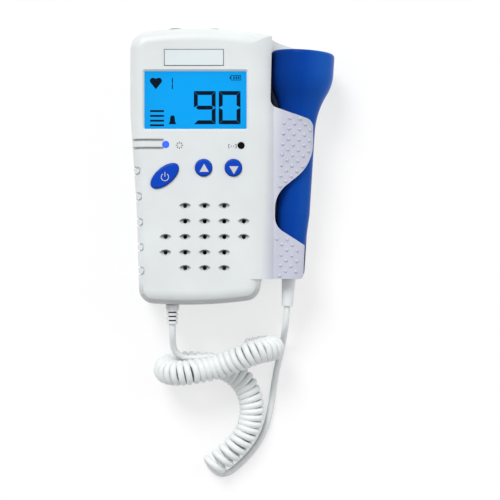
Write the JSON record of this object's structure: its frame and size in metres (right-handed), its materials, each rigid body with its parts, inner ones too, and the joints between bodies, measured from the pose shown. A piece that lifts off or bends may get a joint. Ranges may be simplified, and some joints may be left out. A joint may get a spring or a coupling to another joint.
{
  "type": "fetal doppler monitor",
  "caption": "Hand-held fetal doppler with a lit display, a speaker grille, press buttons, and an ultrasound probe on a curly cord that slides up out of its side holster.",
  "frame": {"origin": "on the flat back, under the middle of the case", "axes": "+Z out of the front face, +Y to the top end, +X to the probe's side"},
  "size_m": [0.0994, 0.2218, 0.0353],
  "materials": {
    "shell": "fine satin moulded plastic, cool white",
    "plate": "smooth bare plate",
    "steel": "plain",
    "window": "clear, glossy",
    "display": "lit azure display",
    "light_guide": "diffuse",
    "frame": "plain",
    "board": "solder-masked",
    "dark_plastic": "plain",
    "chip": "plain",
    "blue_lens": "lit blue lens",
    "cell": "printed sleeve, bare",
    "blue_button": "satin blue",
    "cone": "treated paper",
    "magnet": "plain",
    "gasket": "foam",
    "plug": "satin",
    "cord": "soft satin, white-grey",
    "probe_blue": "satin blue",
    "lens": "smooth",
    "crystal": "plain",
    "backing": "plain"
  },
  "bodies": {
    "root": {"front_shell": "shell", "rear_shell": "shell", "nameplate": "plate", "case_screws": "steel", "board_screws": "steel", "display_window": "window", "display_panel": "display", "backlight": "light_guide", "display_frame": "frame", "main_board": "board", "button_switches": "dark_plastic", "indicator_chips": "chip", "power_indicator": "blue_lens", "charge_indicator": "blue_lens", "battery_cells": "cell", "battery_contacts": "steel", "speaker_frame": "steel", "speaker_cone": "cone", "speaker_magnet": "magnet", "speaker_gasket": "gasket", "probe_socket": "dark_plastic", "dc_jack": "dark_plastic", "earphone_jack": "dark_plastic", "plug_body": "plug", "plug_pin": "steel", "plug_strain_relief": "cord", "plug_lead": "cord", "cord_coil": "cord", "probe_lead": "cord"},
    "probe": {"probe_front_half": "probe_blue", "probe_rear_half": "probe_blue", "probe_head_cap": "probe_blue", "probe_face": "lens", "probe_crystals": "crystal", "probe_backing": "backing", "probe_board": "board", "probe_strain_relief": "cord"},
    "power_button": {"power_button": "blue_button"},
    "up_button": {"up_button": "blue_button"},
    "down_button": {"down_button": "blue_button"},
    "battery_door": {"battery_door": "shell"}
  },
  "joints": [
    {"name": "probe_slide", "type": "slide", "parent": "root", "child": "probe", "axis": [0.0628, 0.998, 0], "range_m": [0, 0.085]},
    {"name": "power_button_press", "type": "slide", "parent": "root", "child": "power_button", "axis": [0, 0, -1], "range_m": [0, 0.0006], "stiffness_N_per_m": 1500, "springref_m": -0.0004},
    {"name": "up_button_press", "type": "slide", "parent": "root", "child": "up_button", "axis": [0, 0, -1], "range_m": [0, 0.0006], "stiffness_N_per_m": 1500, "springref_m": -0.0004},
    {"name": "down_button_press", "type": "slide", "parent": "root", "child": "down_button", "axis": [0, 0, -1], "range_m": [0, 0.0006], "stiffness_N_per_m": 1500, "springref_m": -0.0004},
    {"name": "door_slide", "type": "slide", "parent": "root", "child": "battery_door", "axis": [0, -1, 0], "range_m": [0, 0.018]}
  ]
}
